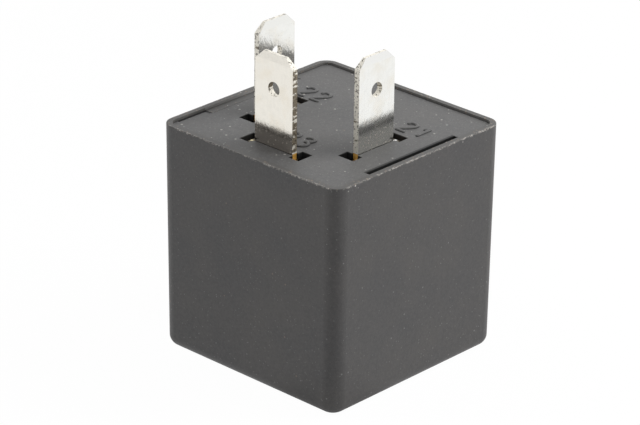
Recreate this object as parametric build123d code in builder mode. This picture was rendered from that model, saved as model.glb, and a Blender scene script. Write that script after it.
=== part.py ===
from build123d import *
import os
from math import atan2, cos, degrees, radians, sin

os.makedirs("parts", exist_ok=True)

# Three-blade plug-in relay for turn signals, in millimetres.
# The origin is the middle of the cover's closed end and +Z points out along the blades.
# The output blade is on the -Y side, the cover's locating lug on the -X side.

# Cover
cover_side = 30.0
cover_height = 30.5
cover_wall = 0.8
cover_floor = 1.0
cover_draft = 0.2
cover_corner = 2.0
cover_edge = 1.5
rim_round = 0.12
gate_diameter = 3.0
gate_depth = 0.25
lug_depth = 1.3
lug_height = 6.0
lug_gap = 0.05
lug_end_gap = 0.15
guide_reach = 1.1
guide_rib = 0.9
guide_height = 9.0

# Base plate
base_thickness = 2.0
base_recess = 0.3
base_gap = 0.12
notch_length = 16.0
notch_depth = 0.95
relief_length = 4.8
relief_depth = 0.3
slot_length = 10.0
slit_gap = 0.075
pocket_length = 1.7
pocket_width = 2.5
pocket_depth = 1.25
bead_length = 8.0
bead_height = 0.8
bead_reach = 0.2
bead_gap = 0.08

# Blades and the terminals below them
blade_pitch = 8.4
front_setback = 5.1
blade_width = 6.3
blade_thickness = 0.8
blade_length = 11.9
tip_chamfer = 1.28
tip_bevel = 1.0
tip_thickness = 0.44
detent_diameter = 1.9
detent_height = 7.35
shoulder_width = 8.4
shoulder_drop = 0.75
high_shoulder_drop = 0.35
stake_spread = 0.2
stop_width = 11.5
stop_height = 1.5
leg_width = 5.0
leg_bend = 0.6
arm_drop = 4.0
arm_width = 4.0
tab_width = 2.2

# Magnet: yoke, core and coil
yoke_thickness = 1.5
yoke_width = 12.4
yoke_leg_width = 10.4
yoke_bend = 0.5
yoke_front = 4.5
yoke_shoulder = 2.5
core_diameter = 4.2
neck_diameter = 3.4
head_diameter = 4.8
head_height = 0.4
shoe_thickness = 1.0
peg_diameter = 1.5
peg_head_diameter = 2.0
peg_head_height = 0.5
bobbin_wall = 0.6
upper_flange = 1.0
lower_flange = 1.2
upper_flange_share = 0.81
winding_share = 0.77
pin_diameter = 0.7
pin_length = 2.4
boss_size = 2.0
boss_height = 1.5
hook_width = 1.2
hook_gap = 0.8
hook_depth = 2.0
hook_reach = 1.9
hook_thickness = 1.0
wire_diameter = 0.6

# Armature, leaf spring and contacts
armature_room = 5.6
armature_thickness = 1.2
armature_width = 9.0
armature_setback = 1.5
armature_corner = 1.0
open_angle = 2.5
spring_thickness = 0.2
spring_width = 8.0
spring_tip_width = 4.4
spring_bulge = 1.2
spring_window = 4.0
spring_leg = 5.4
contact_diameter = 2.2
contact_shank = 1.2
contact_height = 0.8
contact_tail = 0.3
contact_gap = 0.1
rivet_diameter = 1.2
rivet_head_diameter = 1.9
rivet_head_height = 0.35
rivet_spacing = 4.4

# Circuit board and what it carries
board_thickness = 1.6
board_side_gap = 0.6
board_tab_width = 4.0
board_tab_height = 0.8
solder_room = 1.0
solder_diameter = 1.7
solder_height = 0.6
solder_taper = 30
row_margin = 3.0
chip_front_gap = 0.9
lead_diameter = 0.6
lead_bend = 0.6
chip_length = 9.8
chip_width = 6.4
chip_height = 3.3
chip_standoff = 0.5
chip_lead_width = 0.5
chip_lead_thickness = 0.25
chip_pitch = 2.54
chip_row = 7.62
can_diameter = 4.0
can_length = 7.0
can_lead_pitch = 2.0
resistor_diameter = 2.3
resistor_length = 6.2
resistor_pitch = 10.16
diode_diameter = 2.6
diode_length = 5.0
diode_pitch = 8.0
shunt_thickness = 0.4
shunt_width = 3.0
shunt_lap = 2.6

# Clearances
fit_gap = 0.05
rivet_gap = 0.02
coil_gap = 0.3
leg_gap = 0.5
front_gap = 0.6
board_gap = 0.15
board_edge = 1.2
top_gap = 0.6

# Places worked out from the sizes, first along Z
base_high = cover_height - base_recess
base_low = base_high - base_thickness
blade_top = cover_height + blade_length
shoulder_top = base_high - shoulder_drop
pole_face = cover_floor + armature_room
yoke_low = base_low - yoke_thickness
lower_flange_low = pole_face + shoe_thickness
winding_low = lower_flange_low + lower_flange
winding_high = yoke_low - upper_flange
arm_high = base_low - arm_drop
arm_mid = arm_high - arm_width / 2

# Along Y, from the front wall to the output blade and from the back wall to the yoke
inner_half = cover_side / 2 - cover_wall
base_half = inner_half - base_gap
front_y = front_setback - cover_side / 2
side_y = front_y + blade_pitch
board_back = inner_half - cover_draft - solder_room
board_front = board_back - board_thickness
yoke_back = board_front - chip_standoff - chip_height - chip_front_gap - shunt_thickness
yoke_inner = yoke_back - yoke_thickness
flange_rear = yoke_inner - coil_gap
flange_front = front_y + blade_thickness / 2 + leg_gap
flange_depth = flange_rear - flange_front
flange_width = armature_width + 2 * (hook_gap + hook_width)
coil_y = (flange_rear + flange_front) / 2
upper_flange_radius = upper_flange_share * flange_depth / 2
winding_radius = winding_share * flange_depth / 2
shoe_radius = (core_diameter / 2 + upper_flange_radius) / 2
tube_radius = core_diameter / 2 + fit_gap + bobbin_wall
yoke_front_y = coil_y - yoke_front

# The armature hinges on the yoke's lower rear edge and rests open_angle away from the pole face
hinge_y = yoke_back
hinge_z = pole_face
tilt = radians(open_angle)
armature_top = -fit_gap
armature_low = armature_top - armature_thickness
spring_mid = armature_low - spring_thickness / 2
armature_length = hinge_y - flange_front - armature_setback
armature_plane = Plane(
    origin=(0, hinge_y, hinge_z), x_dir=(1, 0, 0), z_dir=(0, -sin(tilt), cos(tilt))
)
foot_end = -(inner_half - cover_draft - front_gap)
contact_y = foot_end + contact_diameter / 2 + fit_gap
contact_reach = hinge_y - contact_y
spring_reach = contact_reach + contact_diameter / 2
fixed_face = hinge_z + armature_low + contact_height + contact_gap
foot_low = fixed_face + contact_height
pin_x = (yoke_leg_width + wire_diameter) / 2 + coil_gap
pin_y = flange_rear - boss_size / 2
boss_low = lower_flange_low - boss_height
wire_z = boss_low - pin_length / 2
peg_x = yoke_width / 2 - peg_head_diameter / 2 - yoke_bend
peg_y = yoke_inner - yoke_bend - peg_head_diameter / 2 - fit_gap
yoke_rivet_z = hinge_z + spring_leg

# The board stands on edge between the cover's guides, with its parts in even rows: supply
# resistor, timing resistor, chip and drive resistor from the bottom up
board_half = inner_half - cover_draft - board_side_gap
board_low = wire_z - board_edge
chip_span = chip_row + chip_lead_thickness
supply_resistor_z = board_low + row_margin
drive_resistor_z = base_low - top_gap - resistor_diameter / 2
row_room = drive_resistor_z - supply_resistor_z - 2 * resistor_diameter - chip_span
row_gap = row_room / 3
timing_resistor_z = supply_resistor_z + resistor_diameter + row_gap
chip_z = timing_resistor_z + (resistor_diameter + chip_span) / 2 + row_gap
side_part_x = blade_pitch - board_gap
can_low = wire_z + solder_diameter + lead_bend
diode_z = wire_z + lead_diameter + diode_pitch / 2
resistor_y = board_front - resistor_diameter / 2 - board_gap
diode_y = board_front - diode_diameter / 2 - board_gap
can_y = board_front - can_diameter / 2 - board_gap
chip_y = board_front - chip_standoff - chip_height / 2

# Every wire that passes the board, as x and z
resistor_rows = {
    "supply_resistor": supply_resistor_z,
    "timing_resistor": timing_resistor_z,
    "drive_resistor": drive_resistor_z,
}
chip_pins = [(n - 1.5) * chip_pitch for n in range(4)]
chip_holes = [(x, chip_z + side * chip_row / 2) for side in (-1, 1) for x in chip_pins]
resistor_holes = [
    (side * resistor_pitch / 2, z) for z in resistor_rows.values() for side in (-1, 1)
]
diode_holes = [(side_part_x, diode_z + side * diode_pitch / 2) for side in (-1, 1)]
can_lead_z = can_low - lead_bend - lead_diameter / 2
can_holes = [(-side_part_x + side * can_lead_pitch / 2, can_lead_z) for side in (-1, 1)]
coil_holes = [(side * pin_x, wire_z) for side in (-1, 1)]
lead_holes = chip_holes + resistor_holes + diode_holes + can_holes + coil_holes
tab_places = [(side * blade_pitch, arm_mid) for side in (-1, 1)]

# Where the three blades pass the base, and which way each is turned
blade_places = [
    Location((0, front_y, 0)),
    Location((-blade_pitch, side_y, 0), (0, 0, 90)),
    Location((blade_pitch, side_y, 0), (0, 0, 90)),
]


def half_side(z):
    """Half the cover's outside width at height z, wider towards the rim."""
    return cover_side / 2 - cover_draft * (1 - z / cover_height)


def on_armature(along, up):
    """Rest position, as y and z, of a point given along and across the armature plate."""
    y = hinge_y + along * cos(tilt) - up * sin(tilt)
    return (y, hinge_z + along * sin(tilt) + up * cos(tilt))


def keep(piece, name):
    """Names a finished piece and writes it to its own file."""
    piece.part.label = name
    export_step(piece.part, f"parts/{name}.step")


# Cover: a moulded cup with draft, a locating lug in its left wall, two snap grooves
# under the rim and a channel in each side wall that takes the edge of the board
cavity_half = half_side(cover_floor) - cover_wall


def drafted_block(low, half, corner):
    """A square block from height low up to the rim, wider there by the cover's draft."""
    with BuildPart() as block:
        with BuildSketch(Plane.XY.offset(low)):
            Rectangle(2 * half, 2 * half)
        extrude(amount=cover_height - low, taper=-degrees(atan2(cover_draft, cover_height)))
        rising = block.edges().filter_by(lambda edge: edge.bounding_box().size.Z > cover_height / 2)
        fillet(rising, corner)
    return block.part


with BuildPart() as cavity:
    add(drafted_block(cover_floor, cavity_half, cover_corner - cover_wall))
    # The locating lug, flush with the base plate, is left standing
    with BuildSketch(Plane.XY.offset(base_high)):
        with Locations((-inner_half, 0)):
            Rectangle(2 * lug_depth, notch_length - 2 * lug_end_gap)
    extrude(amount=-lug_height, mode=Mode.SUBTRACT)
    # So are the board's guides: a rib before the board and a pad behind it, on both sides
    rib_y = board_front - board_gap - guide_rib / 2
    pad_depth = cavity_half - board_back - board_gap
    with BuildSketch(Plane.XY.offset(cover_floor)):
        with Locations((-cavity_half, rib_y), (cavity_half, rib_y)):
            Rectangle(2 * guide_reach, guide_rib)
        with Locations((-cavity_half, cavity_half), (cavity_half, cavity_half)):
            Rectangle(2 * guide_reach, 2 * pad_depth)
    extrude(amount=guide_height, mode=Mode.SUBTRACT)

with BuildPart() as cover:
    add(drafted_block(0, half_side(0), cover_corner))
    fillet(cover.faces().sort_by(Axis.Z)[0].edges(), cover_edge)
    fillet(cover.faces().sort_by(Axis.Z)[-1].edges(), rim_round)
    add(cavity.part, mode=Mode.SUBTRACT)
    # Snap grooves for the base plate's beads
    groove_depth = base_gap + bead_reach + bead_gap
    with BuildSketch(Plane.XY.offset(base_low + base_thickness / 2 - bead_height / 2 - bead_gap)):
        with Locations((0, -base_half), (0, base_half)):
            Rectangle(bead_length + 2 * bead_gap, 2 * groove_depth)
    extrude(amount=bead_height + 2 * bead_gap, mode=Mode.SUBTRACT)
    # Gate mark of the moulding, sunk in the middle of the closed end
    with BuildSketch():
        Circle(gate_diameter / 2)
    extrude(amount=gate_depth, mode=Mode.SUBTRACT)
keep(cover, "cover")


# Base plate: moulded, set just under the rim, with a dumb-bell slot for each terminal
slit_width = blade_thickness + 2 * slit_gap
key_notch_depth = lug_depth + lug_gap - base_gap

with BuildPart() as base_plate:
    with BuildSketch(Plane.XY.offset(base_low)):
        RectangleRounded(2 * base_half, 2 * base_half, cover_corner - cover_wall - base_gap)
        with Locations((-base_half, 0)):
            Rectangle(2 * key_notch_depth, notch_length, mode=Mode.SUBTRACT)
        with Locations((base_half, 0)):
            Rectangle(2 * notch_depth, notch_length, mode=Mode.SUBTRACT)
        with Locations((-base_half, -(notch_length + relief_length) / 2)):
            Rectangle(2 * relief_depth, relief_length, mode=Mode.SUBTRACT)
    extrude(amount=base_thickness)
    # Slots: open pockets at both ends above, a plain slot for the shoulders below
    with BuildSketch(Plane.XY.offset(base_high)):
        with Locations(*blade_places):
            Rectangle(slot_length, slit_width)
            with Locations(
                (-(slot_length - pocket_length) / 2, 0), ((slot_length - pocket_length) / 2, 0)
            ):
                Rectangle(pocket_length, pocket_width)
    extrude(amount=-pocket_depth, mode=Mode.SUBTRACT)
    with BuildSketch(Plane.XY.offset(base_low)):
        with Locations(*blade_places):
            Rectangle(shoulder_width + 2 * slit_gap, slit_width)
    extrude(amount=base_thickness, mode=Mode.SUBTRACT)
    # Snap beads on the front and back edges
    bead_z = base_low + base_thickness / 2
    with BuildSketch(Plane.YZ):
        with BuildLine():
            Polyline(
                (base_half, bead_z - bead_height / 2),
                (base_half + base_gap + bead_reach, bead_z),
                (base_half, bead_z + bead_height / 2),
                close=True,
            )
        make_face()
        mirror(about=Plane.YZ)
    extrude(amount=bead_length / 2, both=True)
    # Recesses underneath for the core's head and the board's tabs
    with BuildSketch(Plane.XY.offset(base_low)):
        with Locations((0, coil_y)):
            Circle(head_diameter / 2 + fit_gap)
    extrude(amount=head_height + fit_gap, mode=Mode.SUBTRACT)
    with BuildSketch(Plane.XY.offset(base_low)):
        with Locations(
            (-board_half / 2, board_back - board_thickness / 2),
            (board_half / 2, board_back - board_thickness / 2),
        ):
            Rectangle(board_tab_width + 2 * fit_gap, board_thickness + 2 * fit_gap)
    extrude(amount=board_tab_height + fit_gap, mode=Mode.SUBTRACT)
    # Two pegs, headed over by heat, hold the yoke
    with BuildSketch(Plane.XY.offset(base_low)):
        with Locations((-peg_x, peg_y), (peg_x, peg_y)):
            Circle(peg_diameter / 2)
    extrude(amount=-yoke_thickness)
    with BuildSketch(Plane.XY.offset(yoke_low)):
        with Locations((-peg_x, peg_y), (peg_x, peg_y)):
            Circle(peg_head_diameter / 2)
    extrude(amount=-peg_head_height)
keep(base_plate, "base_plate")


# Terminals: pressed from brass strip, staked in the base from above and tin plated
def terminal_outline(leg_end):
    """Blade, shoulders, stop ears and inner leg of a terminal, seen square on."""
    with BuildSketch() as outline:
        with BuildLine():
            Polyline(
                (0, blade_top),
                (blade_width / 2 - tip_chamfer, blade_top),
                (blade_width / 2, blade_top - tip_chamfer),
                (blade_width / 2, shoulder_top),
                (shoulder_width / 2, shoulder_top),
                (shoulder_width / 2, base_low),
                (stop_width / 2, base_low),
                (stop_width / 2, base_low - stop_height),
                (leg_width / 2, base_low - stop_height),
                (leg_width / 2, leg_end),
                (0, leg_end),
            )
            mirror(about=Plane.YZ)
        make_face()
    return outline.sketch


def tip_waste():
    """The two slivers that the tip's bevels take off, seen along the blade's width."""
    with BuildSketch() as waste:
        with BuildLine():
            Polyline(
                (blade_thickness / 2, blade_top),
                (tip_thickness / 2, blade_top),
                (blade_thickness / 2, blade_top - tip_bevel),
                close=True,
            )
        make_face()
        mirror(about=Plane.YZ)
    return waste.sketch


def stakes(high_side):
    """The shoulder ends, spread by the staking tool so that they sit on the pocket floor.
    The one on high_side was struck less and stands higher."""
    pocket_floor = base_high - pocket_depth
    stake_length = pocket_length - (slot_length - shoulder_width) / 2 - fit_gap
    with BuildSketch() as ends:
        for side in (-1, 1):
            drop = high_shoulder_drop if side == high_side else shoulder_drop
            stake_height = pocket_depth - drop
            stake_x = side * (shoulder_width - stake_length) / 2
            with Locations((stake_x, pocket_floor + stake_height / 2)):
                Rectangle(stake_length, stake_height)
    return ends.sketch


output_plane = Plane(origin=(0, front_y, 0), x_dir=(1, 0, 0), z_dir=(0, -1, 0))
output_side = Plane(origin=(0, front_y, 0), x_dir=(0, -1, 0), z_dir=(-1, 0, 0))
foot_mid = foot_low + blade_thickness / 2
bend_top = foot_mid + blade_thickness / 2 + leg_bend

with BuildPart() as output_terminal:
    with BuildSketch(output_plane):
        add(terminal_outline(bend_top))
    extrude(amount=blade_thickness / 2, both=True)
    with BuildSketch(output_plane):
        add(stakes(high_side=-1))
    extrude(amount=blade_thickness / 2 + stake_spread, both=True)
    with BuildSketch(output_side):
        add(tip_waste())
    extrude(amount=blade_width / 2, both=True, mode=Mode.SUBTRACT)
    with BuildSketch(output_plane):
        with Locations((0, cover_height + detent_height)):
            Circle(detent_diameter / 2)
    extrude(amount=blade_thickness, both=True, mode=Mode.SUBTRACT)
    # The leg bends outwards into a foot that carries the fixed contact
    with BuildSketch(output_side):
        with BuildLine():
            FilletPolyline(
                (0, bend_top + leg_bend),
                (0, foot_mid),
                (front_y - foot_end, foot_mid),
                radius=leg_bend + blade_thickness / 2,
            )
        trace(line_width=blade_thickness)
    extrude(amount=leg_width / 2, both=True)
    fillet(
        output_terminal.edges().filter_by(Axis.Z).group_by(Axis.Y)[0],
        leg_width / 5,
    )
    with BuildSketch(Plane.XY.offset(foot_low)):
        with Locations((0, contact_y)):
            Circle(contact_shank / 2 + rivet_gap)
    extrude(amount=blade_thickness, mode=Mode.SUBTRACT)
keep(output_terminal, "output_terminal")

for name, side in (("supply_terminal", -1), ("ground_terminal", 1)):
    face_plane = Plane(origin=(side * blade_pitch, side_y, 0), x_dir=(0, 1, 0), z_dir=(1, 0, 0))
    edge_plane = Plane(origin=(side * blade_pitch, side_y, 0), x_dir=(1, 0, 0), z_dir=(0, -1, 0))
    with BuildPart() as side_terminal:
        with BuildSketch(face_plane):
            add(terminal_outline(arm_high - arm_width))
            # The arm runs back to the board and its tab passes through it
            with Locations(((board_front - side_y) / 2, arm_mid)):
                Rectangle(board_front - side_y, arm_width)
            with Locations(((board_back - side_y) / 2, arm_mid)):
                Rectangle(board_back - side_y, tab_width)
        extrude(amount=blade_thickness / 2, both=True)
        with BuildSketch(face_plane):
            add(stakes(high_side=1))
        extrude(amount=blade_thickness / 2 + stake_spread, both=True)
        with BuildSketch(edge_plane):
            add(tip_waste())
        extrude(amount=blade_width / 2, both=True, mode=Mode.SUBTRACT)
        with BuildSketch(face_plane):
            with Locations((0, cover_height + detent_height)):
                Circle(detent_diameter / 2)
        extrude(amount=blade_thickness, both=True, mode=Mode.SUBTRACT)
    keep(side_terminal, name)


# Yoke: folded steel strip, its top leg on the base and its back leg beside the coil
with BuildPart() as yoke:
    with BuildSketch(Plane.YZ):
        with BuildLine():
            FilletPolyline(
                (yoke_front_y, yoke_low + yoke_thickness / 2),
                (yoke_back - yoke_thickness / 2, yoke_low + yoke_thickness / 2),
                (yoke_back - yoke_thickness / 2, pole_face),
                radius=yoke_bend + yoke_thickness / 2,
            )
        trace(line_width=yoke_thickness)
    extrude(amount=yoke_width / 2, both=True)
    # The back leg is narrower than the top leg
    waist_high = yoke_low - yoke_shoulder
    waist_depth = (yoke_width - yoke_leg_width) / 2
    with BuildSketch(Plane.XZ.offset(-yoke_back)):
        for side in (-1, 1):
            with Locations((side * (yoke_width - waist_depth) / 2, (waist_high + pole_face) / 2)):
                Rectangle(waist_depth, waist_high - pole_face)
    extrude(amount=yoke_thickness, mode=Mode.SUBTRACT)
    with BuildSketch(Plane.XY.offset(yoke_low)):
        with Locations((0, coil_y)):
            Circle(neck_diameter / 2 + rivet_gap)
        with Locations((-peg_x, peg_y), (peg_x, peg_y)):
            Circle(peg_diameter / 2 + fit_gap)
    extrude(amount=yoke_thickness, mode=Mode.SUBTRACT)
    with BuildSketch(Plane.XZ.offset(-yoke_back)):
        with Locations((-rivet_spacing / 2, yoke_rivet_z), (rivet_spacing / 2, yoke_rivet_z)):
            Circle(rivet_diameter / 2 + rivet_gap)
    extrude(amount=yoke_thickness, mode=Mode.SUBTRACT)
keep(yoke, "yoke")


# Core: turned soft iron with a pole shoe below, its neck riveted over above the yoke
coil_axis = Axis((0, coil_y, 0), (0, 0, 1))
coil_plane = Plane(origin=(0, coil_y, 0), x_dir=(1, 0, 0), z_dir=(0, -1, 0))

with BuildPart() as core:
    with BuildSketch(coil_plane):
        with BuildLine():
            Polyline(
                (0, pole_face),
                (shoe_radius, pole_face),
                (shoe_radius, lower_flange_low),
                (core_diameter / 2, lower_flange_low),
                (core_diameter / 2, yoke_low),
                (neck_diameter / 2, yoke_low),
                (neck_diameter / 2, base_low),
                (head_diameter / 2, base_low),
                (head_diameter / 2, base_low + head_height),
                (0, base_low + head_height),
                close=True,
            )
        make_face()
    revolve(axis=coil_axis)
keep(core, "core")


# Bobbin: moulded spool with two hooks that stop the armature and two bosses for the pins
hook_foot = on_armature(-armature_length, armature_low)[1] - fit_gap
hook_y = flange_front + armature_setback + hook_depth / 2 - fit_gap

with BuildPart() as bobbin:
    with BuildSketch(coil_plane):
        with BuildLine():
            Polyline(
                (core_diameter / 2 + fit_gap, lower_flange_low),
                (tube_radius, lower_flange_low),
                (tube_radius, winding_high),
                (upper_flange_radius, winding_high),
                (upper_flange_radius, yoke_low),
                (core_diameter / 2 + fit_gap, yoke_low),
                close=True,
            )
        make_face()
    revolve(axis=coil_axis)
    with BuildSketch(Plane.XY.offset(lower_flange_low)):
        with Locations((0, coil_y)):
            RectangleRounded(flange_width, flange_depth, boss_size / 4)
            Circle(core_diameter / 2 + fit_gap, mode=Mode.SUBTRACT)
    extrude(amount=lower_flange)
    with BuildSketch(Plane.XY.offset(boss_low)):
        with Locations((-pin_x, pin_y), (pin_x, pin_y)):
            Rectangle(boss_size, boss_size)
    extrude(amount=boss_height)
    with BuildSketch(Plane.XY.offset(boss_low)):
        with Locations((-pin_x, pin_y), (pin_x, pin_y)):
            Circle(pin_diameter / 2 + rivet_gap)
    extrude(amount=boss_height + lower_flange, mode=Mode.SUBTRACT)
    # Each hook goes down beside the armature and turns in under its front corner
    hook_plane = Plane(origin=(0, hook_y, 0), x_dir=(1, 0, 0), z_dir=(0, -1, 0))
    with BuildSketch(hook_plane):
        with BuildLine():
            Polyline(
                (flange_width / 2, lower_flange_low),
                (flange_width / 2, hook_foot - hook_thickness),
                (flange_width / 2 - hook_width - hook_reach, hook_foot - hook_thickness),
                (flange_width / 2 - hook_width - hook_reach, hook_foot),
                (flange_width / 2 - hook_width, hook_foot),
                (flange_width / 2 - hook_width, lower_flange_low),
                close=True,
            )
        make_face()
        mirror(about=Plane.YZ)
    extrude(amount=hook_depth / 2, both=True)
keep(bobbin, "bobbin")

with BuildPart() as coil_winding:
    with BuildSketch(coil_plane):
        with BuildLine():
            Polyline(
                (tube_radius, winding_low),
                (winding_radius, winding_low),
                (winding_radius, winding_high),
                (tube_radius, winding_high),
                close=True,
            )
        make_face()
    revolve(axis=coil_axis)
keep(coil_winding, "coil_winding")

with BuildPart() as coil_pins:
    with BuildSketch(Plane.XY.offset(boss_low - pin_length)):
        with Locations((-pin_x, pin_y), (pin_x, pin_y)):
            Circle(pin_diameter / 2)
    extrude(amount=pin_length + boss_height + lower_flange)
keep(coil_pins, "coil_pins")

with BuildPart() as coil_leads:
    lead_plane = Plane(origin=(0, pin_y + pin_diameter / 2, 0), x_dir=(-1, 0, 0), z_dir=(0, 1, 0))
    with BuildSketch(lead_plane):
        with Locations((-pin_x, wire_z), (pin_x, wire_z)):
            Circle(wire_diameter / 2)
    extrude(amount=board_back - pin_y - pin_diameter / 2)
keep(coil_leads, "coil_leads")


# Armature: a soft iron plate under the pole shoe
with BuildPart() as armature:
    with BuildSketch(armature_plane.offset(armature_low)):
        with Locations((0, -armature_length / 2)):
            Rectangle(armature_width, armature_length)
    extrude(amount=armature_thickness)
    plate_axis = Axis((0, 0, 0), armature_plane.z_dir)
    front_corners = armature.edges().filter_by(plate_axis).group_by(Axis.Y)[0]
    chamfer(front_corners, armature_corner)
    armature_rivet_y = -(hinge_y - yoke_inner) - rivet_head_diameter / 2 - fit_gap
    with BuildSketch(armature_plane.offset(armature_low)):
        with Locations(
            (-rivet_spacing / 2, armature_rivet_y), (rivet_spacing / 2, armature_rivet_y)
        ):
            Circle(rivet_diameter / 2 + rivet_gap)
    extrude(amount=armature_thickness, mode=Mode.SUBTRACT)
keep(armature, "armature")


# Leaf spring: bronze strip from the yoke's back, round the hinge and along the armature
spring_back = yoke_back + spring_thickness / 2

with BuildPart() as leaf_spring:
    with BuildSketch(Plane.YZ):
        with BuildLine():
            FilletPolyline(
                (spring_back, yoke_rivet_z + rivet_head_diameter),
                (spring_back, hinge_z + 2 * spring_bulge),
                (spring_back + spring_bulge, hinge_z + spring_bulge / 2),
                on_armature(spring_bulge + spring_thickness / 2, spring_mid),
                on_armature(-spring_reach, spring_mid),
                radius=spring_bulge / 3,
            )
        trace(line_width=spring_thickness)
    extrude(amount=spring_width / 2, both=True)
    # A window over the hinge softens the bend
    with BuildSketch(Plane.XZ.offset(-yoke_back - spring_bulge / 4)):
        with Locations((0, hinge_z + spring_bulge / 2)):
            Rectangle(spring_window, 3 * spring_bulge)
    extrude(amount=-2 * spring_bulge, mode=Mode.SUBTRACT)
    # Past the pole shoe the strip narrows towards the contact
    taper_start = -(hinge_y - coil_y)
    tongue = (spring_width - spring_tip_width) / 2
    with BuildSketch(armature_plane.offset(spring_mid - spring_thickness)):
        with BuildLine():
            Polyline(
                (spring_width / 2, taper_start),
                (spring_tip_width / 2, taper_start - 2 * tongue),
                (spring_tip_width / 2, -spring_reach - spring_thickness),
                (spring_width / 2, -spring_reach - spring_thickness),
                close=True,
            )
        make_face()
        mirror(about=Plane.YZ)
    extrude(amount=2 * spring_thickness, mode=Mode.SUBTRACT)
    with BuildSketch(armature_plane.offset(spring_mid - spring_thickness)):
        with Locations(
            (-rivet_spacing / 2, armature_rivet_y), (rivet_spacing / 2, armature_rivet_y)
        ):
            Circle(rivet_diameter / 2 + rivet_gap)
        with Locations((0, -contact_reach)):
            Circle(contact_shank / 2 + rivet_gap)
    extrude(amount=2 * spring_thickness, mode=Mode.SUBTRACT)
    with BuildSketch(Plane.XZ.offset(-yoke_back)):
        with Locations((-rivet_spacing / 2, yoke_rivet_z), (rivet_spacing / 2, yoke_rivet_z)):
            Circle(rivet_diameter / 2 + rivet_gap)
    extrude(amount=-spring_thickness, mode=Mode.SUBTRACT)
keep(leaf_spring, "leaf_spring")


# Rivets that join the spring to the armature and to the yoke
with BuildPart() as armature_rivets:
    rivet_places = [
        (-rivet_spacing / 2, armature_rivet_y),
        (rivet_spacing / 2, armature_rivet_y),
    ]
    rivet_low = armature_low - spring_thickness
    with BuildSketch(armature_plane.offset(rivet_low - rivet_head_height)):
        with Locations(*rivet_places):
            Circle(rivet_head_diameter / 2)
    extrude(amount=rivet_head_height)
    with BuildSketch(armature_plane.offset(rivet_low)):
        with Locations(*rivet_places):
            Circle(rivet_diameter / 2)
    extrude(amount=armature_thickness + spring_thickness)
    with BuildSketch(armature_plane.offset(armature_top)):
        with Locations(*rivet_places):
            Circle(rivet_head_diameter / 2)
    extrude(amount=rivet_head_height)
keep(armature_rivets, "armature_rivets")

with BuildPart() as yoke_rivets:
    yoke_rivet_places = [(-rivet_spacing / 2, yoke_rivet_z), (rivet_spacing / 2, yoke_rivet_z)]
    with BuildSketch(Plane.XZ.offset(-yoke_inner)):
        with Locations(*yoke_rivet_places):
            Circle(rivet_head_diameter / 2)
    extrude(amount=rivet_head_height)
    with BuildSketch(Plane.XZ.offset(-yoke_inner)):
        with Locations(*yoke_rivet_places):
            Circle(rivet_diameter / 2)
    extrude(amount=-(yoke_thickness + spring_thickness))
    with BuildSketch(Plane.XZ.offset(-(yoke_back + spring_thickness))):
        with Locations(*yoke_rivet_places):
            Circle(rivet_head_diameter / 2)
    extrude(amount=-rivet_head_height)
keep(yoke_rivets, "yoke_rivets")


# Contacts: silver-faced rivets, one in the spring's tip and one in the output terminal's foot
with BuildPart() as moving_contact:
    with BuildSketch(armature_plane.offset(armature_low)):
        with Locations((0, -contact_reach)):
            Circle(contact_diameter / 2)
    extrude(amount=contact_height)
    fillet(moving_contact.faces().sort_by(Axis.Z)[-1].edges(), contact_tail)
    with BuildSketch(armature_plane.offset(armature_low - spring_thickness)):
        with Locations((0, -contact_reach)):
            Circle(contact_shank / 2)
    extrude(amount=spring_thickness)
    with BuildSketch(armature_plane.offset(armature_low - spring_thickness)):
        with Locations((0, -contact_reach)):
            Circle(contact_diameter / 2 - contact_tail)
    extrude(amount=-contact_tail)
keep(moving_contact, "moving_contact")

with BuildPart() as fixed_contact:
    with BuildSketch(Plane.XY.offset(foot_low)):
        with Locations((0, contact_y)):
            Circle(contact_diameter / 2)
    extrude(amount=-contact_height)
    fillet(fixed_contact.faces().sort_by(Axis.Z)[0].edges(), contact_tail)
    with BuildSketch(Plane.XY.offset(foot_low)):
        with Locations((0, contact_y)):
            Circle(contact_shank / 2)
    extrude(amount=blade_thickness)
    with BuildSketch(Plane.XY.offset(foot_low + blade_thickness)):
        with Locations((0, contact_y)):
            Circle(contact_diameter / 2 - contact_tail)
    extrude(amount=contact_tail)
keep(fixed_contact, "fixed_contact")


# Shunt: resistance strip from the supply terminal's arm round to the yoke's back
with BuildPart() as shunt:
    with BuildSketch(Plane.XY.offset(arm_mid - shunt_width / 2)):
        shunt_x = -blade_pitch + (blade_thickness + shunt_thickness) / 2
        with BuildLine():
            FilletPolyline(
                (shunt_x, yoke_back + shunt_thickness + shunt_lap),
                (shunt_x, yoke_back + shunt_thickness / 2),
                (-yoke_leg_width / 4, yoke_back + shunt_thickness / 2),
                radius=2 * shunt_thickness,
            )
        trace(line_width=shunt_thickness)
    extrude(amount=shunt_width)
keep(shunt, "shunt")


# Circuit board, standing on edge behind the yoke
with BuildPart() as circuit_board:
    with BuildSketch(Plane.XZ.offset(-board_back)):
        with Locations((0, (base_low + board_low) / 2)):
            Rectangle(2 * board_half, base_low - board_low)
        with Locations(
            (-board_half / 2, base_low + board_tab_height / 2),
            (board_half / 2, base_low + board_tab_height / 2),
        ):
            Rectangle(board_tab_width, board_tab_height)
        with Locations(*lead_holes):
            Circle(lead_diameter / 2 + fit_gap, mode=Mode.SUBTRACT)
        with Locations(*tab_places):
            Rectangle(
                blade_thickness + 2 * fit_gap, tab_width + 2 * fit_gap, mode=Mode.SUBTRACT
            )
    extrude(amount=board_thickness)
keep(circuit_board, "circuit_board")

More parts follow.
